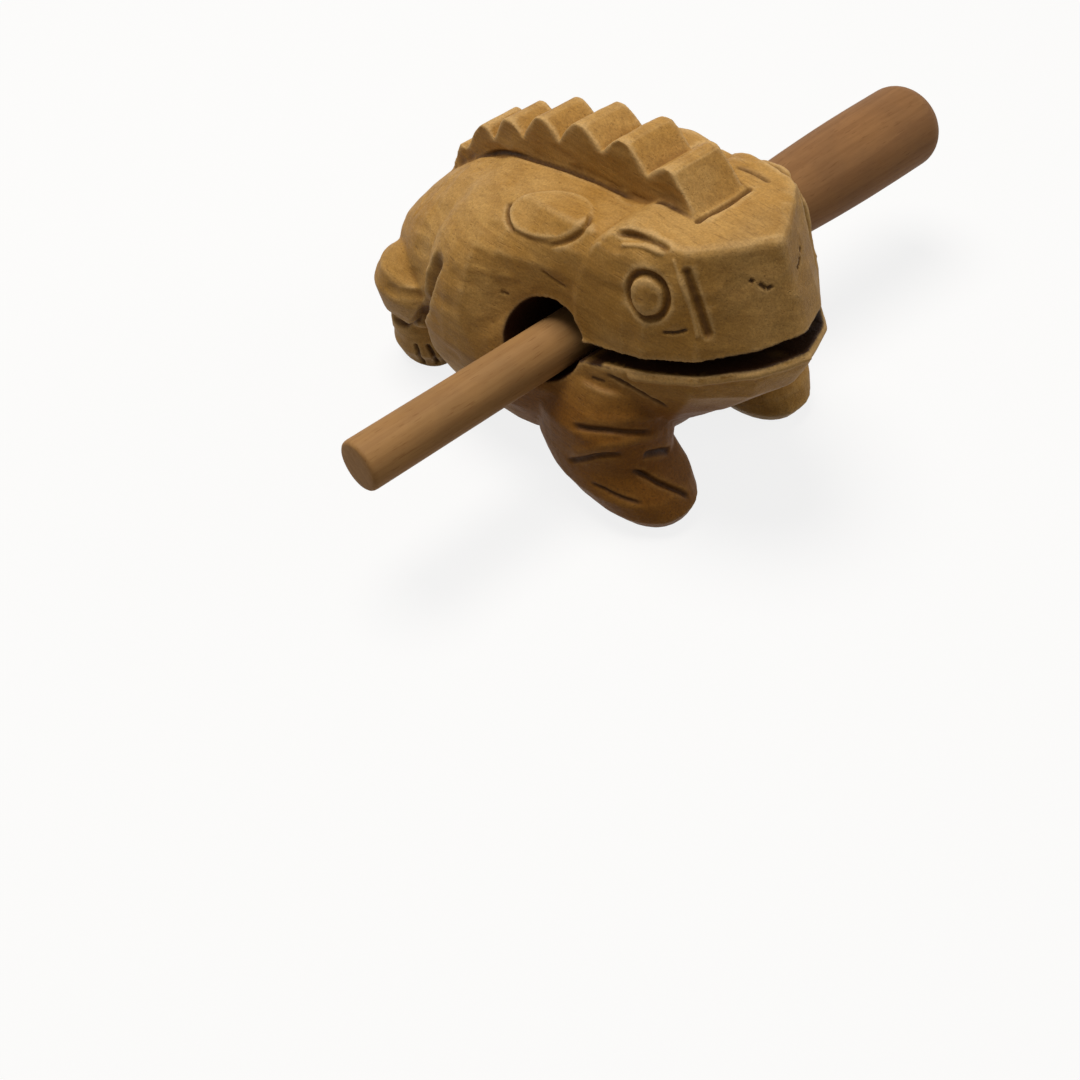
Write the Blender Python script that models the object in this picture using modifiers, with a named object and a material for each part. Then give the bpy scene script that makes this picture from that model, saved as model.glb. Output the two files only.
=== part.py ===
"""Frog guiro: a hollowed wooden frog with a toothed crest on its back, and its rasp stick.

Metres, +Z up. The frog faces -Y and stands on z = 0. Lengths below are in millimetres, and MM
turns them into metres. The frog's own coordinates have x = 0 on its midplane; both pieces are
then moved so that the origin is the middle of the whole footprint.
"""

import math

import bmesh
import bpy
from mathutils import Matrix, Vector

MM = 0.001

# Driving dimensions, in millimetres.
BORE_Y = 25.2
BORE_Z = 42.5
BORE_RADIUS = 9.6
STICK_RADIUS = 6.15
HANDLE_RADIUS = 11.6
STICK_NEAR_END = -82.0
STICK_FAR_END = 106.0
HANDLE_START = 43.5
CLEARANCE = 0.3
MOUTH_HEIGHT = 4.2
MOUTH_PIVOT_Y = 17.0
MOUTH_PIVOT_Z = 40.6
MOUTH_TILT = math.radians(16.0)
RING_POINTS = 32
LEFT_FOOT_OUT = 6.5
LEFT_FOOT_BACK = 5.5

# Torso sections: y, then the right half's outline (x, z) from the belly up to the back. The step
# between y = 62 and y = 65 is the rear edge of the flank, in front of the rump.
TORSO = (
    (-9.0, ((0, 35), (10, 35.5), (17, 40), (20, 48), (21, 58), (20.5, 68), (16, 76), (0, 77.5))),
    (4.0, ((0, 15), (12, 16), (21, 23), (25, 36), (25.5, 50), (24.5, 64), (19.5, 75), (0, 76.5))),
    (14.0, ((0, 7), (13, 8), (25, 17), (29.5, 32), (25.5, 48), (25, 62), (20.5, 73.5), (0, 75))),
    (24.0, ((0, 5), (15, 6), (28.5, 14), (33.5, 31), (26, 48), (26, 61), (21, 72), (0, 73.5))),
    (34.0, ((0, 4), (16, 5), (31, 13), (36.3, 31), (29.5, 48), (28.5, 60), (20, 70), (0, 72))),
    (46.0, ((0, 4), (17, 5), (32, 13), (37.8, 31), (36, 48), (31, 59), (18.5, 67), (0, 69.3))),
    (57.0, ((0, 4.5), (17, 5.5), (32, 13.5), (37.4, 30), (35.2, 46), (29.5, 56), (17, 63.5), (0, 66))),
    (62.0, ((0, 5), (16, 6), (31, 14), (36, 29.5), (33.8, 44), (28, 53.5), (16, 61), (0, 63.5))),
    (65.0, ((0, 6), (14, 7), (28, 15), (32.7, 29), (31, 42), (26, 51.5), (15, 59), (0, 62))),
    (73.0, ((0, 7), (13, 8), (26, 15), (31, 27), (30, 39), (25.5, 48.5), (14, 55.5), (0, 58.5))),
    (82.0, ((0, 9), (11, 10), (22.5, 15), (27.5, 25), (26.5, 35.5), (22, 43.5), (11.5, 49), (0, 51))),
    (90.0, ((0, 12), (9, 12.6), (18, 16.5), (22.5, 24), (21.5, 32), (18, 37.8), (9, 42), (0, 43.5))),
    (96.0, ((0, 17), (5, 17.2), (10.5, 19), (13, 23.5), (12.5, 28), (9.5, 32), (5, 34), (0, 34.5))),
    (98.4, ((0, 21), (2.4, 21.1), (4.8, 22), (6.4, 24), (6, 26.4), (4.6, 28.7), (2.4, 29.8), (0, 30))),
)

# Head outlines at rising heights: z, then points (x, y) of the right half from the front midline.
HEAD = (
    (22.0, ((0.0, -2.0), (9.0, -1.0), (17.0, 3.0), (21.0, 10.0), (22.0, 20.0))),
    (32.0, ((0.0, -13.0), (9.0, -11.5), (18.0, -5.0), (23.5, 4.0), (24.5, 20.0))),
    (42.0, ((0.0, -23.5), (10.0, -20.0), (19.5, -11.0), (25.0, 1.0), (26.0, 20.0))),
    (50.0, ((0.0, -27.5), (10.5, -23.0), (20.0, -13.0), (25.0, -1.0), (26.0, 20.0))),
    (57.0, ((0.0, -26.0), (10.5, -21.0), (19.5, -12.5), (24.5, -1.5), (26.0, 20.0))),
    (66.0, ((0.0, -22.5), (10.0, -17.5), (19.0, -10.0), (24.0, -1.0), (25.0, 18.0))),
    (74.0, ((0.0, -19.5), (9.0, -14.5), (18.0, -8.0), (22.5, 0.0), (22.5, 15.0))),
    (78.6, ((0.0, -18.0), (8.0, -13.5), (17.0, -7.0), (19.5, 0.0), (17.0, 9.0))),
)

# Leg sections at rising heights: z, centre x, centre y, half width, half length.
FRONT_LEG = (
    (0.0, -19.6, 6.5, 7.0, 12.4),
    (1.6, -19.6, 6.5, 9.6, 15.2),
    (5.0, -20.0, 7.5, 11.8, 17.8),
    (10.0, -20.8, 10.5, 13.3, 18.6),
    (16.0, -21.1, 14.7, 13.1, 17.2),
    (26.0, -20.2, 15.2, 14.2, 16.8),
    (37.0, -17.0, 15.0, 12.0, 14.5),
)
HIND_FOOT = (
    (0.0, -22.5, 80.0, 5.0, 6.5),
    (1.6, -22.7, 80.0, 6.6, 8.2),
    (6.0, -23.5, 79.5, 7.6, 9.4),
    (14.0, -24.0, 79.5, 7.6, 9.0),
    (20.0, -22.0, 78.0, 7.0, 8.0),
)
THIGH = (
    (16.5, -24.0, 78.5, 6.5, 8.5),
    (19.0, -24.8, 78.5, 8.6, 10.6),
    (27.0, -25.8, 77.5, 9.6, 12.2),
    (33.0, -24.8, 76.5, 9.0, 11.6),
    (38.5, -21.5, 74.0, 6.0, 7.5),
)

# Crest: base line and tooth peaks, as y, z on the back, from the front end to the rump.
CREST_BASE = ((-3.0, 70.0), (20.0, 66.0), (45.0, 60.0), (66.0, 50.0), (86.0, 38.0))
CREST_FRONT_FOOT = (-1.5, 77.0)
CREST_REAR_FOOT = (88.5, 44.0)
CREST_PEAKS = ((8.2, 86.5), (22.6, 86.6), (36.9, 84.0), (50.6, 79.2), (63.0, 72.8),
               (73.0, 66.4), (81.6, 56.0))
CREST_VALLEYS = ((15.0, 81.4), (29.6, 80.2), (44.0, 76.2), (57.2, 70.4), (68.4, 64.6),
                 (78.0, 59.0))
CREST_HALF_WIDTH_FRONT = 7.6
CREST_HALF_WIDTH_REAR = 5.2


def clear_scene():
    """Remove whatever the new file starts with."""
    for obj in list(bpy.data.objects):
        bpy.data.objects.remove(obj, do_unlink=True)


def make_collection(name):
    """Make a collection under the scene."""
    collection = bpy.data.collections.new(name)
    bpy.context.scene.collection.children.link(collection)
    return collection


def wood(name, colour, roughness):
    """A plain wood material."""
    material = bpy.data.materials.new(name)
    material.use_nodes = True
    shader = material.node_tree.nodes["Principled BSDF"]
    shader.inputs["Base Color"].default_value = (*colour, 1.0)
    shader.inputs["Roughness"].default_value = roughness
    shader.inputs["Metallic"].default_value = 0.0
    return material


def add_mesh(name, bm, collection):
    """Turn a bmesh, drawn in millimetres, into an object in metres."""
    bmesh.ops.recalc_face_normals(bm, faces=bm.faces)
    bmesh.ops.scale(bm, vec=Vector((MM, MM, MM)), verts=bm.verts)
    mesh = bpy.data.meshes.new(name)
    bm.to_mesh(mesh)
    bm.free()
    obj = bpy.data.objects.new(name, mesh)
    collection.objects.link(obj)
    return obj


def loft(rings):
    """Skin a stack of rings with the same number of points, and close both ends."""
    bm = bmesh.new()
    loops = [[bm.verts.new(point) for point in ring] for ring in rings]
    count = len(loops[0])
    for lower, upper in zip(loops, loops[1:]):
        for i in range(count):
            j = (i + 1) % count
            bm.faces.new((lower[i], lower[j], upper[j], upper[i]))
    bm.faces.new(loops[0])
    bm.faces.new(loops[-1])
    return bm


def rounded_ring(count, power):
    """Points of a unit superellipse, for sections that are squarer than a circle."""
    ring = []
    for i in range(count):
        angle = 2.0 * math.pi * i / count
        c = math.cos(angle)
        s = math.sin(angle)
        ring.append((math.copysign(abs(c) ** (2.0 / power), c),
                     math.copysign(abs(s) ** (2.0 / power), s)))
    return ring


def smooth_through(points, steps):
    """Points of a Catmull-Rom curve through the given ones, which may have any dimension."""
    ends = [points[0]] + list(points) + [points[-1]]
    curve = []
    for a, b, c, d in zip(ends, ends[1:], ends[2:], ends[3:]):
        for step in range(steps):
            t = step / steps
            curve.append(tuple(
                0.5 * (2.0 * q + (r - p) * t + (2.0 * p - 5.0 * q + 4.0 * r - s) * t * t
                       + (3.0 * (q - r) + s - p) * t * t * t)
                for p, q, r, s in zip(a, b, c, d)))
    curve.append(tuple(points[-1]))
    return curve


def torso(collection):
    """The barrel of the body, lofted through upright sections from chest to rump."""
    sections = []
    for y, half in TORSO:
        outline = smooth_through(half, 2)
        sections.append([y] + [value for point in outline for value in point])
    rings = []
    for section in smooth_through(sections, 2):
        y = section[0]
        half = list(zip(section[1::2], section[2::2]))
        right = [(-x, y, z) for x, z in half]
        left = [(x, y, z) for x, z in reversed(half[1:-1])]
        rings.append(right + left)
    return add_mesh("torso", loft(rings), collection)


def head(collection):
    """The head and jaw, lofted through level outlines; the cheeks run back into the torso."""
    rings = []
    for z, half in HEAD:
        right = [(x, y, z) for x, y in half]
        left = [(-x, y, z) for x, y in reversed(half[1:])]
        rings.append(right + left)
    obj = add_mesh("head", loft(rings), collection)
    bevel = obj.modifiers.new("Soft edges", "BEVEL")
    bevel.width = 1.6 * MM
    bevel.segments = 2
    bevel.limit_method = "ANGLE"
    bevel.angle_limit = math.radians(25.0)
    return obj


def limb(name, sections, side, collection):
    """A leg or foot, lofted through level oval sections; side is -1 for right, 1 for left.

    The left front foot stands a little further out and back than the right one.
    """
    unit = rounded_ring(RING_POINTS, 2.3)
    stray = side > 0.0 and sections is FRONT_LEG
    rings = []
    for z, x, y, half_width, half_length in sections:
        share = 1.0 - z / sections[-1][0] if stray else 0.0
        out = LEFT_FOOT_OUT * share
        back = LEFT_FOOT_BACK * share
        ring = [(side * (out - x + half_width * u), y + back + half_length * v, z)
                for u, v in unit]
        rings.append(ring)
    return add_mesh(name, loft(rings), collection)


def crest(collection):
    """The ridge on the back, with teeth whose edges run across it."""
    top = [CREST_FRONT_FOOT]
    for i, peak in enumerate(CREST_PEAKS):
        top.append((peak[0] - 1.2, peak[1] - 0.3))
        top.append((peak[0] + 1.2, peak[1] - 0.3))
        if i < len(CREST_VALLEYS):
            top.append(CREST_VALLEYS[i])
    top.append(CREST_REAR_FOOT)
    outline = top + list(reversed(CREST_BASE))
    length = CREST_REAR_FOOT[0] - CREST_FRONT_FOOT[0]
    rings = []
    for side in (-1.0, 1.0):
        ring = []
        for y, z in outline:
            share = (y - CREST_FRONT_FOOT[0]) / length
            half_width = CREST_HALF_WIDTH_FRONT * (1.0 - share) + CREST_HALF_WIDTH_REAR * share
            ring.append((side * half_width, y, z))
        rings.append(ring)
    return add_mesh("crest", loft(rings), collection)


def bore_cutter(collection):
    """A round rod along X that drills the resonance bore from cheek to cheek."""
    bm = bmesh.new()
    bmesh.ops.create_cone(bm, cap_ends=True, segments=48, radius1=BORE_RADIUS,
                          radius2=BORE_RADIUS, depth=100.0)
    bmesh.ops.rotate(bm, cent=Vector(), matrix=Matrix.Rotation(math.radians(90.0), 3, "Y"),
                     verts=bm.verts)
    bmesh.ops.translate(bm, vec=Vector((0.0, BORE_Y, BORE_Z)), verts=bm.verts)
    return add_mesh("bore_cutter", bm, collection)


def mouth_cutter(collection):
    """A flat slab, tilted up towards the snout, that saws the mouth from the bore forwards."""
    depth = 60.0
    bm = bmesh.new()
    bmesh.ops.create_cube(bm, size=1.0)
    bmesh.ops.scale(bm, vec=Vector((100.0, depth, MOUTH_HEIGHT)), verts=bm.verts)
    bmesh.ops.translate(bm, vec=Vector((0.0, -depth / 2.0 + 6.0, MOUTH_HEIGHT / 2.0)),
                        verts=bm.verts)
    bmesh.ops.rotate(bm, cent=Vector(), matrix=Matrix.Rotation(-MOUTH_TILT, 3, "X"),
                     verts=bm.verts)
    bmesh.ops.translate(bm, vec=Vector((0.0, MOUTH_PIVOT_Y, MOUTH_PIVOT_Z)), verts=bm.verts)
    return add_mesh("mouth_cutter", bm, collection)


def add_boolean(obj, other, operation):
    """Join or cut with another object, which is kept as a hidden guide."""
    modifier = obj.modifiers.new(other.name, "BOOLEAN")
    modifier.operation = operation
    modifier.solver = "EXACT"
    modifier.object = other
    other.hide_render = True
    other.display_type = "WIRE"


def frog_body(collection, cutters):
    """Carve the frog: torso, head, crest and legs in one block, then bore and mouth."""
    body = torso(collection)
    body.name = "frog_body"
    body.data.name = "frog_body"
    pieces = [head(cutters), crest(cutters)]
    for side, word in ((-1.0, "right"), (1.0, "left")):
        pieces.append(limb(word + "_front_leg", FRONT_LEG, side, cutters))
        pieces.append(limb(word + "_hind_foot", HIND_FOOT, side, cutters))
        pieces.append(limb(word + "_thigh", THIGH, side, cutters))
    for piece in pieces:
        add_boolean(body, piece, "UNION")
    add_boolean(body, bore_cutter(cutters), "DIFFERENCE")
    add_boolean(body, mouth_cutter(cutters), "DIFFERENCE")
    body.data.materials.append(wood("carved wood", (0.46, 0.28, 0.11), 0.6))
    return body


def stick_profile():
    """Half profile of the turned stick: distance along it from the thin end, then radius."""
    length = STICK_FAR_END - STICK_NEAR_END
    swell = HANDLE_START - STICK_NEAR_END
    profile = [(0.0, 0.0), (0.0, STICK_RADIUS - 1.4), (0.4, STICK_RADIUS - 0.5),
               (1.4, STICK_RADIUS)]
    profile += [(swell - 5.0, STICK_RADIUS), (swell - 3.6, STICK_RADIUS + 1.0),
                (swell - 1.6, HANDLE_RADIUS - 2.2), (swell, HANDLE_RADIUS - 1.5),
                (swell + 14.0, HANDLE_RADIUS - 0.7)]
    dome = 8.0
    profile.append((length - dome - 12.0, HANDLE_RADIUS))
    for step in range(7):
        angle = math.radians(90.0 * step / 6.0)
        profile.append((length - dome + dome * math.sin(angle),
                        HANDLE_RADIUS * math.cos(angle)))
    profile[-1] = (length, 0.0)
    return profile


def rasp_stick(collection):
    """The turned stick, lying on the floor of the bore with its handle out on the left."""
    mesh = bpy.data.meshes.new("rasp_stick")
    points = [(radius * MM, 0.0, -along * MM) for along, radius in stick_profile()]
    mesh.from_pydata(points, [(i, i + 1) for i in range(len(points) - 1)], [])
    stick = bpy.data.objects.new("rasp_stick", mesh)
    collection.objects.link(stick)
    screw = stick.modifiers.new("Turned", "SCREW")
    screw.axis = "Z"
    screw.steps = 40
    screw.render_steps = 40
    screw.use_merge_vertices = True
    screw.merge_threshold = 0.00001
    screw.use_smooth_shade = True
    stick.rotation_euler = (0.0, math.radians(-90.0), 0.0)
    rest_z = BORE_Z - BORE_RADIUS + STICK_RADIUS + CLEARANCE
    stick.location = (STICK_NEAR_END * MM, BORE_Y * MM, rest_z * MM)
    stick.data.materials.append(wood("turned wood", (0.36, 0.22, 0.10), 0.55))
    return stick


def place_on_footprint(objects):
    """Move every object so that the origin is the middle of the visible pieces' footprint."""
    bpy.context.view_layer.update()
    graph = bpy.context.evaluated_depsgraph_get()
    corners = []
    for obj in objects:
        if not obj.hide_render:
            solid = obj.evaluated_get(graph)
            corners += [solid.matrix_world @ Vector(corner) for corner in solid.bound_box]
    shift = Vector((-0.5 * (min(c.x for c in corners) + max(c.x for c in corners)),
                    -0.5 * (min(c.y for c in corners) + max(c.y for c in corners)), 0.0))
    for obj in objects:
        obj.location = obj.location + shift


def main():
    """Build both pieces."""
    clear_scene()
    parts = make_collection("frog_guiro")
    cutters = make_collection("cutters")
    frog_body(parts, cutters)
    rasp_stick(parts)
    place_on_footprint(list(parts.objects) + list(cutters.objects))


main()
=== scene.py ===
"""A carved wooden frog guiro with its turned stick, on a pale studio floor."""

import math

import bmesh
import bpy
import numpy as np
from bpy.props import FloatProperty, FloatVectorProperty, IntProperty, PointerProperty
from mathutils import Matrix, Vector, noise
from mathutils.kdtree import KDTree


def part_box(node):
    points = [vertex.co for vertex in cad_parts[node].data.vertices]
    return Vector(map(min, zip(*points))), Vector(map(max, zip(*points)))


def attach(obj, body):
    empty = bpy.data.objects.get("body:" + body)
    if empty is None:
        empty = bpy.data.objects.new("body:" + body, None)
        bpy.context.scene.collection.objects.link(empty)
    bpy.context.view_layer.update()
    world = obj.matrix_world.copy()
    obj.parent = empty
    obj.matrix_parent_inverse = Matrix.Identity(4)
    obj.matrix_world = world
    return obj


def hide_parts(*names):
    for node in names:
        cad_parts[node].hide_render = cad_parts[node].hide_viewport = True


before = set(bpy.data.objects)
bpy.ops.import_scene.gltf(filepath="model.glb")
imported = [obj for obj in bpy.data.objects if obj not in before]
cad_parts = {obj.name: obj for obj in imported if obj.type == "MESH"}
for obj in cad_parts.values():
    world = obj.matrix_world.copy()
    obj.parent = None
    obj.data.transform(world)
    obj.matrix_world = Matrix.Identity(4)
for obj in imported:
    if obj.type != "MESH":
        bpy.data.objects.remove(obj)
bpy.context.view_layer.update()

bl_info = {
    "name": "Frog guiro",
    "version": (1, 0, 0),
    "blender": (4, 5, 0),
    "location": "View3D > Sidebar > Guiro",
    "description": "Carves the wooden frog, turns its stick and lights them in a small studio",
    "category": "Object",
}

MM = 0.001

# Carving places are in millimetres from a point on the frog's middle line: X to its left,
# Y towards its tail, Z up. This is where that point lies in the frame.
MIDDLE = np.array((-12.0, -35.8, 0.0))
BORE_Y, BORE_Z, BORE_RADIUS = 25.2, 42.5, 9.6
MOUTH_Y, MOUTH_Z, MOUTH_TILT = 17.0, 40.6, math.radians(16.0)
MOUTH_HEIGHT = 4.2
# The left front foot stands this much further out and back; the shift fades out up the leg.
LEFT_FOOT_OUT, LEFT_FOOT_BACK = 6.5, 5.5
LEG_TOP, LEG_REAR = 44.0, 30.0
# The edge of the lower lip.
LIP_RIM = ((-25.6, 9.0, 41.0), (-24.4, 2.0, 43.0), (-22.6, -5.0, 45.0), (-19.4, -13.3, 47.4),
           (-15.2, -18.4, 48.8), (-10.7, -23.0, 50.2), (-4.3, -26.4, 51.2), (0.0, -27.4, 51.6))

# Each cut: its points, half its width, its depth (a raised edge is negative), how dark its
# bottom is painted as shade, and whether its ends run out to nothing.
CUTS = {
    "brow": (((-20.6, 11.0, 76.0), (-19.9, 6.5, 77.4), (-19.3, 2.4, 78.1), (-18.6, -1.2, 78.4),
              (-18.8, -3.6, 77.6)), 1.0, 1.1, 0.55, True),
    "lid": (((-21.9, 8.6, 74.4), (-20.9, 4.6, 76.2), (-20.2, 1.0, 76.8), (-19.4, -3.2, 76.7)),
            0.8, -0.5, 0.0, True),
    "cheek_channel": (((-17.6, -7.7, 74.2), (-17.5, -9.4, 70.6), (-17.4, -11.2, 66.6),
                       (-17.1, -13.4, 60.4)), 1.25, 1.0, 0.5, False),
    "cheek_edge": (((-18.9, -5.0, 76.2), (-19.0, -7.0, 72.6), (-18.9, -9.4, 67.4),
                    (-18.7, -11.9, 60.3)), 0.6, -0.35, 0.0, False),
    "cheek_nick": (((-22.6, -5.4, 59.2), (-21.3, -8.2, 60.1), (-19.8, -10.5, 61.2)),
                   0.5, 0.55, 0.9, True),
    "nostril_short": (((-7.9, -16.4, 71.3), (-7.2, -17.0, 70.8)), 0.55, 0.6, 0.8, True),
    "nostril_down": (((-6.6, -17.6, 70.4), (-5.2, -18.7, 69.0)), 0.6, 0.6, 0.75, True),
    "nostril_up": (((-5.2, -18.7, 69.0), (-4.0, -19.4, 69.4)), 0.55, 0.7, 0.8, True),
    "temple_mark": (((-27.0, 28.2, 59.4), (-26.1, 24.6, 58.4), (-25.6, 20.7, 57.9)),
                    0.5, 0.4, 0.35, True),
    "flank_mark": (((-31.3, 37.6, 50.1), (-30.1, 35.5, 49.8)), 0.5, 0.4, 0.5, True),
    "flank_hollow": (((-33.0, 56.0, 52.0), (-34.6, 58.0, 46.7), (-35.6, 59.3, 42.0),
                      (-36.1, 61.5, 35.7), (-34.0, 66.0, 27.0), (-31.5, 72.0, 18.5)),
                     2.9, 2.5, 0.40, True),
    "heel_crease": (((-30.9, 84.5, 14.0), (-30.9, 78.7, 15.5), (-32.2, 72.0, 19.4),
                     (-34.5, 66.0, 25.0)), 1.1, 1.2, 0.6, True),
    "hind_toe_outer": (((-30.6, 75.2, 10.0), (-30.3, 74.7, 6.5), (-29.0, 75.3, 1.5)),
                       0.75, 1.1, 0.8, False),
    "hind_toe_inner": (((-28.8, 72.3, 10.4), (-28.2, 71.6, 7.4), (-26.8, 71.4, 2.0)),
                       0.75, 1.1, 0.8, False),
    "jaw_cut": (((-26.6, 8.4, 41.2), (-25.6, 4.6, 40.8), (-23.8, 0.2, 39.2),
                 (-21.5, -2.2, 36.9), (-19.6, -4.4, 34.7)), 0.7, 0.8, 0.9, True),
    "jaw_nick": (((-27.5, 12.0, 38.2), (-26.6, 8.3, 39.0)), 0.5, 0.45, 0.7, True),
    "wrist_cut": (((-33.4, 12.4, 27.0), (-32.2, 8.6, 28.0), (-29.8, 4.2, 28.8),
                   (-26.5, 0.7, 28.5), (-21.5, -1.4, 26.4)), 0.95, 0.8, 0.7, True),
    "wrist_ridge": (((-33.2, 12.0, 29.8), (-29.3, 4.2, 31.2), (-24.0, 0.1, 31.0),
                     (-18.0, -2.0, 28.8)), 1.9, -0.35, 0.0, True),
    "hand_ridge": (((-34.2, 14.4, 17.6), (-33.1, 6.9, 23.2), (-30.8, 2.8, 25.4),
                    (-25.0, -0.9, 25.9), (-18.0, -1.6, 23.5)), 1.8, -0.35, 0.0, True),
    "hand_cut": (((-34.1, 13.5, 15.6), (-33.4, 9.0, 19.0), (-31.8, 4.6, 22.2),
                  (-28.6, 0.8, 23.4)), 0.95, 0.75, 0.7, True),
    "palm_cut": (((-24.6, -1.5, 21.6), (-20.0, -2.2, 19.4), (-15.8, -2.0, 17.0)),
                 1.2, 0.9, 0.9, True),
    "front_toe_outer": (((-33.7, 6.7, 12.9), (-32.6, 2.8, 12.7), (-31.2, -0.6, 12.0),
                         (-28.4, -4.9, 10.8)), 0.6, 0.6, 0.75, True),
    "front_toe_inner": (((-27.8, -0.5, 18.2), (-24.9, -2.4, 15.5), (-22.6, -4.8, 13.3),
                         (-19.1, -7.9, 10.1), (-16.6, -10.2, 7.4)), 0.85, 1.0, 0.8, True),
    "left_notch": (((-14.0, 22.6, 73.6), (-18.5, 21.6, 73.2), (-21.6, 21.2, 71.6)),
                   1.3, 1.3, 0.8, True),
    "crown_mark": (((-11.6, 6.5, 78.6), (-12.6, 2.7, 78.6), (-12.9, -3.1, 78.6)),
                   0.6, 0.45, 0.5, True),
    "lower_lip": (((-24.0, 2.0, 43.4), (-22.4, -5.0, 45.4), (-19.0, -13.3, 47.6),
                   (-14.8, -18.1, 49.0), (-10.5, -22.6, 50.4), (-4.1, -25.4, 51.0),
                   (0.0, -26.4, 51.4)), 1.2, -0.5, 0.0, False),
    "crest_foot": (((-7.9, -1.2, 78.4), (-8.5, 9.0, 77.8), (-7.8, 23.0, 73.6),
                    (-7.4, 37.0, 71.0), (-6.9, 51.0, 67.4), (-6.4, 66.0, 61.8),
                    (-6.6, 78.0, 53.0)), 0.75, 0.55, 0.75, True),
    "crest_front": (((-7.9, -1.2, 78.4), (0.0, -1.6, 78.5), (7.9, -1.2, 78.4)),
                    0.7, 0.5, 0.5, False),
    "ear_back": (((-20.6, 45.0, 66.4), (-22.6, 43.4, 65.6), (-24.6, 41.0, 65.0),
                  (-26.0, 37.2, 64.2)), 0.8, 0.8, 0.45, True),
    "ear_front": (((-17.4, 22.0, 73.0), (-19.8, 19.8, 72.8), (-22.2, 20.6, 70.8),
                   (-24.2, 23.4, 68.0), (-25.6, 27.4, 66.0)), 0.8, 0.7, 0.35, True),
    "ear_foot": (((-26.0, 37.2, 64.2), (-26.2, 32.0, 65.2), (-25.6, 27.4, 66.2)),
                 0.8, 0.2, 0.1, False),
}
# The teeth of the crest: the tops and bottoms of its side view, and how full each tooth is.
TOOTH_TOPS = ((8.2, 86.5), (22.6, 86.6), (36.9, 84.0), (50.6, 79.2), (63.0, 72.8),
              (73.0, 66.4), (81.6, 56.0))
TOOTH_GAPS = ((15.0, 81.4), (29.6, 80.2), (44.0, 76.2), (57.2, 70.4), (68.4, 64.6),
              (78.0, 59.0))
TOOTH_SWELL = 1.35
# Where the crest meets the back, in the same view.
CREST_LINE = ((-3, 78.5), (9, 78), (23, 73.6), (37, 71), (51, 67.4), (66, 61.8), (78, 54),
              (90, 44))
# Cuts that only one side of the frog has.
RIGHT_ONLY = {"front_toe_inner", "palm_cut", "flank_mark", "temple_mark"}
LEFT_ONLY = {"crown_mark", "left_notch"}
# The eye: its middle, half lengths, ring, the painted shade in the ring, and the rise of
# the disc inside it.
EYE = (-23.1, -1.2, 66.9)
EYE_HALF_LENGTH, EYE_HALF_HEIGHT = 5.3, 6.1
EYE_GROOVE, EYE_GROOVE_DEPTH, EYE_GROOVE_DARK = 1.35, 1.15, 0.46
EYE_DISC_RISE, EYE_DISC_DOME = 0.30, 0.35
# The ear: its middle, way, half lengths and rise, and the left one's extra swell.
EAR = (-20.4, 31.5, 69.6)
EAR_WAY = (-0.20, 0.95, -0.27)
EAR_HALF_LENGTH, EAR_HALF_WIDTH = 12.6, 6.4
EAR_RISE, LEFT_EAR_SWELL = 0.55, 1.4
# Each pass of sanding goes in and then slightly further out, so that nothing shrinks.
SAND_IN, SAND_OUT = 0.55, 0.57

# The stick, in metres; INSET is how far its surface stays inside the frame's.
ROD_RADIUS = 0.00612
SHOULDER_START, SHOULDER_LENGTH = 0.1205, 0.005
GRIP_SWELL, DOME_LENGTH, INSET = 0.0015, 0.0085, 0.0001
# The rounding of the thin end: how far along, and how much less than the rod's radius.
END_ROUNDING = ((0.00002, 0.0009), (0.00012, 0.00055), (0.0004, 0.00022), (0.0008, 0.00006),
                (0.0014, 0.0))

# Tones laid over the wood by place, each with its share: painted shade, greyer and darker,
# on the front of the snout; painted shade, darker and more golden, on the right front leg,
# jaw and belly; pale on worn edges.
SNOUT_SHADE_TINT, SNOUT_SHADE_SHARE = (0.72, 0.74, 0.86), 0.45
# Painted shade, darker and more golden, low on the frog's right front.
LOW_SHADE_TINT, LOW_SHADE_SHARE = (0.42, 0.28, 0.09), 0.90
WORN_TONE, WORN_SHARE = (0.66, 0.44, 0.20), 0.45

# The camera: turn, height and roll in degrees, aim, distance and shift.
CAMERA_TURN = (-44.0, 40.0, -0.5)
CAMERA_AIM, CAMERA_AWAY = (-0.01489, -0.01455, 0.04012), 0.3774
CAMERA_SHIFT = (-0.0935, -0.2204)
# Each lamp's width, place and tint; both point at the frog's middle.
KEY_LAMP = (0.6, (-0.08, 0.20, 1.06), (1.0, 0.97, 0.92))
FILL_LAMP = (0.7, (0.80, -0.60, 0.50), (1.0, 0.98, 0.95))
LAMP_AIM = (0.0, 0.0, 0.04)
AMBIENT_COLOUR, AMBIENT_STRENGTH = (1.0, 0.95, 0.86, 1.0), 0.15
FLOOR_GLOW = 0.84


class CarvingSettings(bpy.types.PropertyGroup):
    """Sizes of the carver's work on the frog."""

    grain: FloatProperty(name="Mesh step", description="Spacing of the carved surface's points",
                         default=0.00046, min=0.0003, max=0.002, unit="LENGTH", precision=5)
    faces: IntProperty(name="Triangles", description="Triangles kept in the carved frog",
                       default=186000, min=20000, max=199000)
    melt: IntProperty(name="Sanding", description="Passes that round the flanks and belly",
                      default=70, min=0, max=200)
    depth: FloatProperty(name="Cut depth", description="Scales every cut's depth",
                         default=1.0, min=0.0, max=2.0)
    gouge: FloatProperty(name="Gouge depth", description="Depth of the broad gouge marks",
                         default=0.00022, min=0.0, max=0.002, unit="LENGTH", precision=5)
    strokes: IntProperty(name="Gouge marks", description="How many gouge marks are left",
                         default=420, min=0, max=2000)
    seed: IntProperty(name="Seed", description="Placing of the gouge marks", default=7, min=0)


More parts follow.
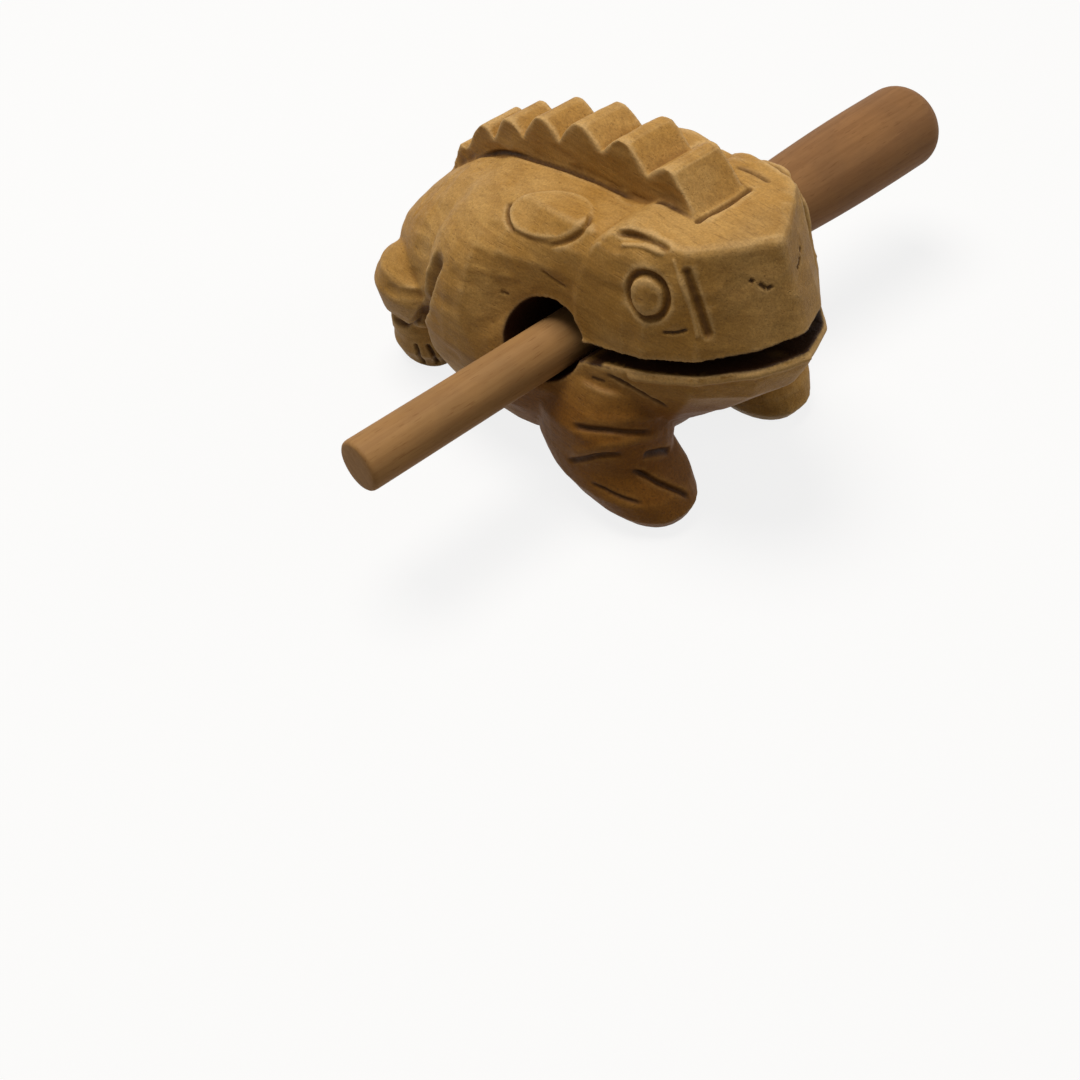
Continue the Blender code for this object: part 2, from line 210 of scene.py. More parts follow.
class StickSettings(bpy.types.PropertyGroup):
    """Sizes of the turned stick's finish."""

    segments: IntProperty(name="Segments", description="Sides round the stick",
                          default=96, min=12, max=256)
    wave: FloatProperty(name="Waviness", description="How far the turning strays from round",
                        default=0.00012, min=0.0, max=0.001, unit="LENGTH", precision=5)
    wave_scale: FloatProperty(name="Wave scale", description="Waves to a metre",
                              default=60.0, min=1.0, max=500.0)
    seed: IntProperty(name="Seed", description="Which waves the stick has", default=3, min=0)


def colour(name, description, rgb):
    return FloatVectorProperty(name=name, description=description, default=rgb, size=3,
                               min=0.0, max=1.0, subtype="COLOR")


class WoodSettings(bpy.types.PropertyGroup):
    """Colours of the wood and of the shade painted on it, as linear values."""

    pale: colour("Pale wood", "Raised and sanded wood", (0.500, 0.290, 0.090))
    warm: colour("Warm wood", "The wood's middle tone", (0.390, 0.200, 0.042))
    # Deep wood is the dark grain, and also the painted shade laid in hollows.
    deep: colour("Deep wood", "Dark grain and hollows", (0.170, 0.070, 0.012))
    # This colour is painted shade, laid in the bottom of each cut, on the walls of the hole and in
    # the slot of the mouth.
    painted_shade: colour("Shade in cuts", "The bottom of each cut", (0.022, 0.007, 0.002))
    stick: colour("Stick", "The thin end of the stick", (0.320, 0.175, 0.068))
    # The handle's colour is the stick's wood in painted shade.
    handle: colour("Handle", "The stick's thick end", (0.225, 0.112, 0.045))


class StageSettings(bpy.types.PropertyGroup):
    """The floor, lamps and camera."""

    floor: FloatProperty(name="Floor size", description="Length of the floor's side",
                         default=6.0, min=1.0, max=20.0, unit="LENGTH")
    key: FloatProperty(name="Key lamp", description="Power of the overhead lamp",
                       default=10.6, min=0.0, unit="POWER")
    fill: FloatProperty(name="Fill lamp", description="Power of the side lamp",
                        default=2.0, min=0.0, unit="POWER")
    lens: FloatProperty(name="Lens", description="Focal length of the camera",
                        default=0.05397, min=0.01, max=0.3, unit="LENGTH", precision=5)


# ---------------------------------------------------------------- carving

def to_frog(points):
    return points / MM - MIDDLE


def flowing(points, steps=6):
    """Points on a smooth curve through the given ones."""
    points = [np.array(p) for p in points]
    ends = [2 * points[0] - points[1]] + points + [2 * points[-1] - points[-2]]
    line = []
    for a, b, c, d in zip(ends, ends[1:], ends[2:], ends[3:]):
        for step in range(steps):
            t = step / steps
            line.append(0.5 * (2 * b + (c - a) * t + (2 * a - 5 * b + 4 * c - d) * t * t
                               + (3 * b - a - 3 * c + d) * t ** 3))
    return np.array(line + [points[-1]])


def mirrored(points):
    """The same cut on the frog's left. Its left front foot stands further out and back."""
    moved = []
    for x, y, z in points:
        share = max(0.0, 1.0 - z / LEG_TOP) if y < LEG_REAR else 0.0
        moved.append((-x + LEFT_FOOT_OUT * share, y + LEFT_FOOT_BACK * share, z))
    return moved


def edges_of(mesh):
    pairs = np.empty(len(mesh.edges) * 2, dtype=np.int64)
    mesh.edges.foreach_get("vertices", pairs)
    return pairs.reshape(-1, 2)


def points_of(mesh):
    co = np.empty(len(mesh.vertices) * 3)
    mesh.vertices.foreach_get("co", co)
    return co.reshape(-1, 3)


def normals_of(mesh):
    n = np.empty(len(mesh.vertices) * 3)
    mesh.vertex_normals.foreach_get("vector", n)
    return n.reshape(-1, 3)


def put_points(mesh, points):
    mesh.vertices.foreach_set("co", points.ravel())
    mesh.update()


class Neighbours:
    """Averages over each point's neighbours."""

    def __init__(self, pairs, count):
        self.a = np.concatenate((pairs[:, 0], pairs[:, 1]))
        self.b = np.concatenate((pairs[:, 1], pairs[:, 0]))
        self.count = count
        self.share = 1.0 / np.maximum(np.bincount(self.a, minlength=count), 1)

    def mean(self, values):
        if values.ndim == 1:
            return np.bincount(self.a, values[self.b], self.count) * self.share
        return np.stack([self.mean(values[:, k]) for k in range(values.shape[1])], axis=1)


def smoothed(points, around, weight, passes):
    """Rounds points without shrinking them, by weight at each point."""
    weight = weight[:, None]
    for _ in range(passes):
        points = points + SAND_IN * weight * (around.mean(points) - points)
        points = points - SAND_OUT * weight * (around.mean(points) - points)
    return points


def step(values, low, high):
    t = np.clip((values - low) / (high - low), 0.0, 1.0)
    return t * t * (3.0 - 2.0 * t)


def crest_base(y):
    """The height of the back beside the crest."""
    return np.interp(y, *zip(*CREST_LINE))


def crest_share(p):
    """1 on the crest, 0 away from it."""
    side = 1.0 - step(np.abs(p[:, 0]), 8.0, 10.5)
    return side * step(p[:, 2] - crest_base(p[:, 1]), -1.5, 0.5)


def cheek_share(p):
    """1 at the front edge of each cheek panel, where the channel is cut."""
    away = np.hypot((p[:, 1] + 7.5) / 4.6, (p[:, 2] - 65.5) / 9.5)
    return (1.0 - step(away, 0.8, 1.15)) * step(np.abs(p[:, 0]), 14.5, 16.5)


def sanding_weights(p):
    """How much each part is sanded round: flanks most, the head's flat planes least."""
    x, y, z = p[:, 0], p[:, 1], p[:, 2]
    torso = step(y, 8.0, 20.0)
    crest = crest_share(p)
    rump_edge = (1.0 - step(np.abs(y - 63.5), 3.0, 7.0)) * step(np.abs(x), 18.0, 22.0)
    hole = np.hypot(y - BORE_Y, z - BORE_Z)
    rim = 1.0 - step(hole, 11.0, 14.0)
    mouth = (1.0 - step(y, 10.0, 22.0)) * (1.0 - step(np.abs(z - 47.0 + 0.25 * y), 5.0, 9.0))
    foot = 1.0 - step(z, 1.0, 4.0)
    weight = 0.035 + 0.965 * torso
    low = 1.0 - step(z, 30.0, 42.0)
    weight = np.maximum(weight, 0.55 * low)
    for mask, keep in ((rump_edge, 0.30), (crest, 0.12), (rim, 0.04), (mouth, 0.04), (foot, 0.12)):
        weight = weight * (1.0 - mask) + np.minimum(weight, keep) * mask
    return weight


def near_line(points, line, reach):
    """For the points near a line: their numbers, their distance, and how far along it is."""
    low, high = line.min(axis=0) - reach, line.max(axis=0) + reach
    near = np.nonzero(np.all((points > low) & (points < high), axis=1))[0]
    best = np.full(len(near), np.inf)
    along = np.zeros(len(near))
    lengths = np.linalg.norm(np.diff(line, axis=0), axis=1)
    total, run = lengths.sum(), 0.0
    for a, b, length in zip(line, line[1:], lengths):
        ab = b - a
        t = np.clip((points[near] - a) @ ab / max(length * length, 1e-9), 0.0, 1.0)
        d = np.linalg.norm(points[near] - a - t[:, None] * ab, axis=1)
        closer = d < best
        best[closer] = d[closer]
        along[closer] = (run + t[closer] * length) / total
        run += length
    return near, best, along


def round_teeth(points):
    """Swells each tooth of the crest into a hump that meets the next in a sharp gap."""
    y, z = points[:, 1], points[:, 2]
    tops, gaps = np.array(TOOTH_TOPS), np.array(TOOTH_GAPS)
    roof = np.interp(y, tops[:, 0], tops[:, 1])
    floor = np.interp(y, gaps[:, 0], gaps[:, 1])
    share = np.clip((z - floor) / np.maximum(roof - floor, 0.5), 0.0, 1.0)
    swollen = 1.0 - (1.0 - share) ** TOOTH_SWELL
    inside = (np.abs(points[:, 0]) < 9.0) & (z > crest_base(y) + 1.0)
    inside &= (y > tops[0, 0] - 0.5) & (y < tops[-1, 0] + 0.5) & (share > 0.0)
    points = points.copy()
    points[:, 2] = np.where(inside, floor + (roof - floor) * swollen, z)
    return points


def cut_lines(points, tree, depth_scale):
    """Depth of every cut, and the painted shade at its bottom, at each point."""
    depth = np.zeros(len(points))
    dark = np.zeros(len(points))
    for name, (places, half_width, cut, shade_amount, fades) in CUTS.items():
        sides = [] if name in LEFT_ONLY else [places]
        sides += [] if name in RIGHT_ONLY else [mirrored(places)]
        for side in sides:
            line = flowing([tuple(points[tree.find(p)[1]]) for p in side])
            near, away, along = near_line(points, line, half_width * 2.2)
            shape = np.clip(1.0 - (away / half_width) ** 2, 0.0, 1.0)
            shape = shape ** (1.2 if cut > 0.0 else 1.6)
            if fades:
                shape *= step(along, -0.02, 0.16) * (1.0 - step(along, 0.84, 1.02))
            depth[near] += shape * cut * depth_scale
            soft = np.clip(1.0 - (away / (half_width * 1.25)) ** 2, 0.0, 1.0) ** 1.5
            if fades:
                soft *= step(along, -0.02, 0.10) * (1.0 - step(along, 0.90, 1.02))
            dark[near] = np.maximum(dark[near], soft * shade_amount)
    return depth, dark


def eye_relief(points, normals, tree, depth_scale):
    """A ring cut round a domed disc, on each cheek, with painted shade in the ring."""
    depth = np.zeros(len(points))
    dark = np.zeros(len(points))
    for side in (1.0, -1.0):
        place = (EYE[0] * side, EYE[1], EYE[2])
        centre = points[tree.find(place)[1]]
        near = np.nonzero(np.linalg.norm(points - centre, axis=1) < 9.0)[0]
        out = normals[near].mean(axis=0)
        out /= np.linalg.norm(out)
        up = np.array((0.0, 0.0, 1.0)) - out * out[2]
        up /= np.linalg.norm(up)
        across = np.cross(up, out)
        offset = points[near] - centre
        facing = normals[near] @ out > 0.3
        u, v = offset @ across / EYE_HALF_LENGTH, offset @ up / EYE_HALF_HEIGHT
        size = 0.5 * (EYE_HALF_LENGTH + EYE_HALF_HEIGHT)
        ring = (np.hypot(u, v) - 1.0) * size + EYE_GROOVE * 0.5
        groove = np.clip(1.0 - (ring / (EYE_GROOVE * 0.75)) ** 2, 0.0, 1.0) ** 0.9
        inside = np.clip(-ring - 0.2, 0.0, None)
        dome = np.clip(1.0 - np.hypot(u, v) ** 2, 0.0, 1.0)
        disc = step(inside, 0.0, 1.6) * EYE_DISC_RISE + EYE_DISC_DOME * dome
        depth[near] += facing * (groove * EYE_GROOVE_DEPTH - disc) * depth_scale
        dark[near] = np.maximum(dark[near], facing * groove * EYE_GROOVE_DARK)
    return depth, dark


def ear_relief(points, normals, tree):
    """A low oval boss behind each eye."""
    rise = np.zeros(len(points))
    for side in (1.0, -1.0):
        centre = points[tree.find((EAR[0] * side, EAR[1], EAR[2]))[1]]
        near = np.nonzero(np.linalg.norm(points - centre, axis=1) < 18.0)[0]
        long_way = np.array((EAR_WAY[0] * side, EAR_WAY[1], EAR_WAY[2]))
        long_way /= np.linalg.norm(long_way)
        out = normals[near].mean(axis=0)
        out -= long_way * (out @ long_way)
        out /= np.linalg.norm(out)
        across = np.cross(out, long_way)
        offset = points[near] - centre
        size = np.hypot(offset @ long_way / EAR_HALF_LENGTH, offset @ across / EAR_HALF_WIDTH)
        rise[near] += EAR_RISE * (1.0 - step(size, 0.88, 1.03))
        if side < 0.0:
            rise[near] += LEFT_EAR_SWELL * (1.0 - step(size, 0.2, 1.0))
    return rise


def gouge_marks(points, normals, tree, settings):
    """Broad scoops left by the carver: deeper on the rump and behind the brow, shallower on
    the front legs."""
    chance = np.random.default_rng(settings.seed)
    depth = np.zeros(len(points))
    deep = settings.gouge / MM
    for _ in range(settings.strokes):
        k = int(chance.integers(len(points)))
        length, width, turn = chance.uniform((3.0, 1.6, -0.7), (7.0, 3.2, 0.7))
        p, n = points[k], normals[k]
        hole = math.hypot(p[1] - BORE_Y, p[2] - BORE_Z)
        if hole < 13.0 or p[2] < 2.5:
            continue
        rough = 1.0
        if p[1] > 66.0 or (6.0 < p[1] < 19.0 and p[2] > 64.0):
            rough = 1.9
        elif p[2] < 44.0 and p[1] < 30.0:
            rough = 0.45
        along = np.cross(n, (math.sin(turn), 0.2, math.cos(turn)))
        along /= max(np.linalg.norm(along), 1e-6)
        across = np.cross(n, along)
        near = np.array([i for _, i, _ in tree.find_range(p, length)])
        offset = points[near] - p
        shape = 1.0 - (offset @ along / length) ** 2 - (offset @ across / width) ** 2
        shape = np.clip(shape, 0.0, 1.0) * (normals[near] @ n > 0.6)
        depth[near] = np.maximum(depth[near], shape * deep * rough)
    return depth


def frog_tree(points):
    tree = KDTree(len(points))
    for i, p in enumerate(points):
        tree.insert(p, i)
    tree.balance()
    return tree


def keep_attribute(mesh, name, values):
    layer = mesh.attributes.new(name, "FLOAT", "POINT")
    layer.data.foreach_set("value", np.clip(values, 0.0, 1.0).astype(np.float32))


def with_modifier(obj, kind, **values):
    """A plain mesh of obj with one modifier applied."""
    modifier = obj.modifiers.new(kind.title(), kind)
    for name, value in values.items():
        setattr(modifier, name, value)
    view = bpy.context.evaluated_depsgraph_get()
    mesh = bpy.data.meshes.new_from_object(obj.evaluated_get(view))
    obj.modifiers.remove(modifier)
    old, obj.data = obj.data, mesh
    bpy.data.meshes.remove(old)
    return mesh


def inside_mouth(points):
    """1 inside the slot of the mouth, behind the rim of its lips, where painted shade goes."""
    rim = flowing(LIP_RIM + tuple((-x, y, z) for x, y, z in reversed(LIP_RIM[:-1])))
    floor = MOUTH_Z + (MOUTH_Y - points[:, 1]) * math.tan(MOUTH_TILT)
    level = np.abs((points[:, 2] - floor) * math.cos(MOUTH_TILT) - MOUTH_HEIGHT / 2)
    slot = 1.0 - step(level, MOUTH_HEIGHT / 2 + 0.15, MOUTH_HEIGHT / 2 + 0.60)
    slot = slot * (1.0 - step(points[:, 1], 12.0, 17.0))
    flat = np.array((1.0, 1.0, 0.0))
    near, away, _ = near_line(points * flat, rim * flat, 3.0)
    depth = np.full(len(points), 3.0)
    depth[near] = np.minimum(away, 3.0)
    return slot * step(depth, 0.1, 1.2)


def fine_frog(settings):
    """The frame's solid as an object of its own, welded and remeshed finely."""
    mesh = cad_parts["frog_body"].data.copy()
    mesh.materials.clear()
    welded = bmesh.new()
    welded.from_mesh(mesh)
    bmesh.ops.remove_doubles(welded, verts=welded.verts, dist=1e-6)
    welded.to_mesh(mesh)
    welded.free()
    frog = bpy.data.objects.new("carved_frog", mesh)
    bpy.context.scene.collection.objects.link(frog)
    with_modifier(frog, "REMESH", mode="VOXEL", voxel_size=settings.grain,
                  adaptivity=0.0, use_smooth_shade=True)
    return frog


def sanded(points, around, settings):
    """Rounds the block, flattens the front edge of each cheek and fills out the teeth."""
    points = smoothed(points, around, np.ones(len(points)), 4)
    points = smoothed(points, around, sanding_weights(points), settings.melt)
    flat = 0.6 * cheek_share(points)[:, None]
    for _ in range(60):
        points = points + flat * (around.mean(points) - points)
    points = round_teeth(points)
    points = smoothed(points, around, crest_share(points) * 0.8, 5)
    points[:, 2] = np.maximum(points[:, 2], 0.0)
    return points


def surface_masks(points, normals, fine_normals, around, in_bore):
    """What the wood's material reads at each point, apart from its cuts: painted shade in
    hollows, in the hole and mouth, low on the right front and on the snout, and worn edges.
    """
    # Painted shade in hollows, and worn edges, from how far the surface lies below or above
    # a blurred one.
    blurred = points
    reliefs = []
    for passes in (8, 40):
        for _ in range(passes):
            blurred = around.mean(blurred)
        reliefs.append(np.einsum("ij,ij->i", blurred - points, fine_normals))
    small, broad = reliefs
    # Painted shade on the walls of the hole through the frog.
    bore_wall_shade = in_bore * (1.0 - step(normals[:, 0] ** 2, 0.35, 0.80))
    x, y, z = points[:, 0], points[:, 1], points[:, 2]
    # Painted shade, darker and more golden, low on the frog's right front: leg, jaw and belly.
    low = (1.0 - step(z, 28.0, 50.0)) * (1.0 - step(y, 30.0, 52.0))
    # Painted shade on the front face of the snout.
    snout = 1.0 - step(y + 0.35 * np.abs(x), -9.0, -4.5)
    return {"hollow_shade": 0.55 * step(small, 0.02, 0.30) + 0.6 * step(broad, 0.10, 1.30),
            "edge": step(-small, 0.03, 0.22),
            "bore_shade": np.maximum(bore_wall_shade, inside_mouth(points)),
            "low_shade": low * (1.0 - step(x, 4.0, 16.0)),
            "snout": snout * step(z, 54.0, 60.0)}


def carve_frog(settings):
    """The frog: the fine block sanded and cut, then thinned to the triangles wanted."""
    frog = fine_frog(settings)
    mesh = frog.data
    around = Neighbours(edges_of(mesh), len(mesh.vertices))
    points = sanded(to_frog(points_of(mesh)), around, settings)
    put_points(mesh, (points + MIDDLE) * MM)
    normals = normals_of(mesh)
    tree = frog_tree(points)
    for _ in range(3):
        normals = around.mean(normals)
    normals /= np.maximum(np.linalg.norm(normals, axis=1), 1e-9)[:, None]

    cuts, dark = cut_lines(points, tree, settings.depth)
    eyes, eye_dark = eye_relief(points, normals, tree, settings.depth)
    ears = ear_relief(points, normals, tree)
    scoops = gouge_marks(points, normals, tree, settings)
    wobble = np.array([noise.noise(Vector(p * 0.11)) + 0.5 * noise.noise(Vector(p * 0.27))
                       for p in points])
    hole = np.hypot(points[:, 1] - BORE_Y, points[:, 2] - BORE_Z)
    in_bore = 1.0 - step(hole, BORE_RADIUS + 0.8, BORE_RADIUS + 2.0)
    level = step(points[:, 2], 0.3, 2.0) * (1.0 - in_bore)
    sink = (cuts + eyes - ears + scoops - 0.14 * wobble) * level
    points = points - normals * sink[:, None]
    points[:, 2] = np.maximum(points[:, 2], 0.0)
    points = smoothed(points, around, np.full(len(points), 0.5), 1)
    put_points(mesh, (points + MIDDLE) * MM)
    # Painted shade in the cuts and eye rings, with the other marks the material reads.
    masks = {"cut": np.maximum(dark, eye_dark),
             **surface_masks(points, normals, normals_of(mesh), around, in_bore)}

    ratio = settings.faces / (2.0 * len(mesh.polygons))
    mesh = with_modifier(frog, "DECIMATE", decimate_type="COLLAPSE", ratio=min(1.0, ratio),
                         use_collapse_triangulate=True)
    tree = frog_tree(points)
    match = np.array([tree.find(p)[1] for p in to_frog(points_of(mesh))])
    for name, values in masks.items():
        keep_attribute(mesh, name, values[match])
    mesh.polygons.foreach_set("use_smooth", np.ones(len(mesh.polygons), dtype=bool))
    mesh.name = "carved_frog"
    return frog


# ---------------------------------------------------------------- the turned stick

def socket(tree, name, kind, way="INPUT", default=None):
    made = tree.interface.new_socket(name, in_out=way, socket_type=kind)
    if default is not None:
        made.default_value = default
    return made


def turning_tree():
    """Turns a half profile, drawn from the axis, into a solid with slight waves."""
    tree = bpy.data.node_groups.new("Turned stick", "GeometryNodeTree")
    socket(tree, "Profile", "NodeSocketGeometry")
    socket(tree, "Segments", "NodeSocketInt", default=96)
    socket(tree, "Waviness", "NodeSocketFloat", default=0.0001)
    socket(tree, "Wave scale", "NodeSocketFloat", default=60.0)
    socket(tree, "Seed", "NodeSocketInt", default=3)
    socket(tree, "Material", "NodeSocketMaterial")
    socket(tree, "Stick", "NodeSocketGeometry", way="OUTPUT")
    n, link = tree.nodes, tree.links.new
    given, out = n.new("NodeGroupInput"), n.new("NodeGroupOutput")
    place = n.new("GeometryNodeInputPosition")
    apart = n.new("ShaderNodeSeparateXYZ")
    radius = n.new("GeometryNodeCaptureAttribute")
    radius.capture_items.new("FLOAT", "Radius")
    axis = n.new("ShaderNodeCombineXYZ")
    to_axis = n.new("GeometryNodeSetPosition")
    curve = n.new("GeometryNodeMeshToCurve")
    circle = n.new("GeometryNodeCurvePrimitiveCircle")
    circle.inputs["Radius"].default_value = 1.0
    swept = n.new("GeometryNodeCurveToMesh")
    weld = n.new("GeometryNodeMergeByDistance")
    weld.inputs["Distance"].default_value = 2e-6
    waves = n.new("ShaderNodeTexNoise")
    waves.noise_dimensions = "4D"
    waves.inputs["Detail"].default_value = 1.0
    centred = n.new("ShaderNodeMath")
    centred.operation = "SUBTRACT"
    centred.inputs[1].default_value = 0.5
    sized = n.new("ShaderNodeMath")
    sized.operation = "MULTIPLY"
    outward = n.new("GeometryNodeInputNormal")
    push = n.new("ShaderNodeVectorMath")
    push.operation = "SCALE"
    wavy = n.new("GeometryNodeSetPosition")
    smooth = n.new("GeometryNodeSetShadeSmooth")
    real = n.new("GeometryNodeRealizeInstances")
    paint = n.new("GeometryNodeSetMaterial")
    link(place.outputs[0], apart.inputs[0])
    link(given.outputs["Profile"], radius.inputs["Geometry"])
    link(apart.outputs["Z"], radius.inputs["Radius"])
    link(apart.outputs["X"], axis.inputs["X"])
    link(radius.outputs["Geometry"], to_axis.inputs["Geometry"])
    link(axis.outputs[0], to_axis.inputs["Position"])
    link(to_axis.outputs[0], curve.inputs["Mesh"])
    link(given.outputs["Segments"], circle.inputs["Resolution"])
    link(curve.outputs[0], swept.inputs["Curve"])
    link(circle.outputs["Curve"], swept.inputs["Profile Curve"])
    link(radius.outputs["Radius"], swept.inputs["Scale"])
    link(swept.outputs[0], weld.inputs["Geometry"])
    link(given.outputs["Wave scale"], waves.inputs["Scale"])
    link(given.outputs["Seed"], waves.inputs["W"])
    link(place.outputs[0], waves.inputs["Vector"])
    link(waves.outputs["Fac"], centred.inputs[0])
    link(centred.outputs[0], sized.inputs[0])
    link(given.outputs["Waviness"], sized.inputs[1])
    link(outward.outputs["Normal"], push.inputs[0])
    link(sized.outputs[0], push.inputs["Scale"])
    link(weld.outputs[0], wavy.inputs["Geometry"])
    link(push.outputs[0], wavy.inputs["Offset"])
    link(wavy.outputs[0], smooth.inputs["Geometry"])
    link(smooth.outputs[0], real.inputs["Geometry"])
    link(real.outputs[0], paint.inputs["Geometry"])
    link(given.outputs["Material"], paint.inputs["Material"])
    link(paint.outputs[0], out.inputs["Stick"])
    return tree


def stick_profile():
    """Places along the stick, in metres, each with its radius: rod, shoulder, grip, dome."""
    low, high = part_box("rasp_stick")
    thin, thick = ROD_RADIUS, (high.z - low.z) / 2 - INSET
    start, end = low.x + INSET, high.x - INSET
    shoulder = low.x + SHOULDER_START
    stations = [(start, 0.0), (start, thin - 0.0030)]
    stations += [(start + along, thin - less) for along, less in END_ROUNDING]
    at = stations[-1][0]
    while at < shoulder - 0.0025:
        at += 0.002
        stations.append((at, thin))
    for share in range(1, 9):
        t = share / 8.0
        ease = t * t * (3.0 - 2.0 * t)
        stations.append((shoulder + SHOULDER_LENGTH * t,
                         thin + (thick - GRIP_SWELL - thin) * ease))
    grip = shoulder + SHOULDER_LENGTH
    for share in range(1, 29):
        t = share / 28
        fullness = math.sin(0.5 * math.pi * min(1.0, t * 1.25))
        stations.append((grip + (end - DOME_LENGTH - grip) * t,
                         thick - GRIP_SWELL * (1.0 - fullness)))
    for share in range(1, 15):
        angle = 0.5 * math.pi * share / 14
        stations.append((end - DOME_LENGTH + DOME_LENGTH * math.sin(angle),
                         thick * math.cos(angle) ** 0.92))
    stations[-1] = (end, 0.0)
    return stations


def turn_stick(settings, material):
    low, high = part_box("rasp_stick")
    stations = stick_profile()
    mesh = bpy.data.meshes.new("stick_profile")
    mesh.from_pydata([(x, 0.0, r) for x, r in stations],
                     [(i, i + 1) for i in range(len(stations) - 1)], [])
    stick = bpy.data.objects.new("turned_stick", mesh)
    bpy.context.scene.collection.objects.link(stick)
    tree = turning_tree()
    modifier = stick.modifiers.new("Turned", "NODES")
    modifier.node_group = tree
    values = {"Segments": settings.segments, "Waviness": settings.wave,
              "Wave scale": settings.wave_scale, "Seed": settings.seed, "Material": material}
    for item in tree.interface.items_tree:
        if item.in_out == "INPUT" and item.name in values:
            modifier[item.identifier] = values[item.name]
    view = bpy.context.evaluated_depsgraph_get()
    turned = bpy.data.meshes.new_from_object(stick.evaluated_get(view))
    stick.modifiers.remove(modifier)
    turned.transform(Matrix.Translation((0.0, (low.y + high.y) / 2, (low.z + high.z) / 2)))
    bm = bmesh.new()
    bm.from_mesh(turned)
    bmesh.ops.recalc_face_normals(bm, faces=bm.faces)
    bm.to_mesh(turned)
    bm.free()
    stick.data = turned
    turned.name = "turned_stick"
    bpy.data.meshes.remove(mesh)
    return stick


# ---------------------------------------------------------------- wood

def shader_group(name, inputs, outputs):
    """A new shader group with its sockets, and its nodes, links, input and output."""
    group = bpy.data.node_groups.new(name, "ShaderNodeTree")
    for label, kind, default in inputs:
        socket(group, label, kind, default=default)
    for label, kind in outputs:
        socket(group, label, kind, way="OUTPUT")
    return group, group.nodes.new("NodeGroupInput"), group.nodes.new("NodeGroupOutput")


def math_node(tree, operation, a, b=None, clamp=False):
    """A Math node fed by sockets or plain numbers; returns its output."""
    node = tree.nodes.new("ShaderNodeMath")
    node.operation = operation
    node.use_clamp = clamp
    for i, value in enumerate((a, b)):
        if value is None:
            continue
        if isinstance(value, (int, float)):
            node.inputs[i].default_value = value
        else:
            tree.links.new(value, node.inputs[i])
    return node.outputs[0]


def share_of(tree, value, amount):
    """A socket's value times a plain number."""
    return math_node(tree, "MULTIPLY", value, amount)


def ranged(tree, value, low, high, to_low=0.0, to_high=1.0):
    node = tree.nodes.new("ShaderNodeMapRange")
    node.interpolation_type = "SMOOTHSTEP"
    for name, number in (("From Min", low), ("From Max", high), ("To Min", to_low),
                         ("To Max", to_high)):
        node.inputs[name].default_value = number
    tree.links.new(value, node.inputs["Value"])
    return node.outputs[0]


def noise_at(tree, vector, scale, detail=3.0, roughness=0.55, stretch=None, distortion=0.0):
    """Noise on vector, stretched along one way if asked."""
    if stretch is not None:
        mapped = tree.nodes.new("ShaderNodeMapping")
        mapped.inputs["Scale"].default_value = stretch
        tree.links.new(vector, mapped.inputs["Vector"])
        vector = mapped.outputs[0]
    node = tree.nodes.new("ShaderNodeTexNoise")
    node.inputs["Scale"].default_value = scale
    node.inputs["Detail"].default_value = detail
    node.inputs["Roughness"].default_value = roughness
    node.inputs["Distortion"].default_value = distortion
    tree.links.new(vector, node.inputs["Vector"])
    return node.outputs["Fac"]


def mixed(tree, factor, a, b, blend="MIX"):
    """A colour mix; a and b are sockets or colours."""
    node = tree.nodes.new("ShaderNodeMix")
    node.data_type = "RGBA"
    node.blend_type = blend
    if isinstance(factor, (int, float)):
        node.inputs[0].default_value = factor
    else:
        tree.links.new(factor, node.inputs[0])
    for slot, value in ((6, a), (7, b)):
        if isinstance(value, bpy.types.NodeSocket):
            tree.links.new(value, node.inputs[slot])
        else:
            node.inputs[slot].default_value = (*value, 1.0)
    return node.outputs[2]


def grain_group():
    """Long grain: streaks, growth rings and pores, along the vector's Y."""
    group, given, out = shader_group(
        "Long grain",
        (("Vector", "NodeSocketVector", None), ("Ring spacing", "NodeSocketFloat", 260.0)),
        (("Streaks", "NodeSocketFloat"), ("Rings", "NodeSocketFloat"),
         ("Pores", "NodeSocketFloat"), ("Blotches", "NodeSocketFloat")))
    vector = given.outputs["Vector"]
    streaks = noise_at(group, vector, 900.0, 5.0, 0.62, stretch=(1.0, 0.05, 1.0))
    group.links.new(ranged(group, streaks, 0.36, 0.66), out.inputs["Streaks"])
    warp = noise_at(group, vector, 22.0, 2.0, 0.5, stretch=(1.0, 0.22, 1.0))
    apart = group.nodes.new("ShaderNodeSeparateXYZ")
    group.links.new(vector, apart.inputs[0])
    across = math_node(group, "ADD", share_of(group, apart.outputs["Z"], 0.86),
                       share_of(group, apart.outputs["X"], 0.5))
    spaced = math_node(group, "MULTIPLY", across, given.outputs["Ring spacing"])
    phase = math_node(group, "ADD", spaced, share_of(group, warp, 5.0))
    saw = math_node(group, "FRACT", phase)
    group.links.new(ranged(group, saw, 0.25, 1.0), out.inputs["Rings"])
    pores = noise_at(group, vector, 2600.0, 2.0, 0.5, stretch=(1.0, 0.09, 1.0))
    group.links.new(ranged(group, pores, 0.60, 0.72), out.inputs["Pores"])
    blotches = noise_at(group, vector, 42.0, 4.0, 0.6)
    group.links.new(ranged(group, blotches, 0.32, 0.70), out.inputs["Blotches"])
    return group


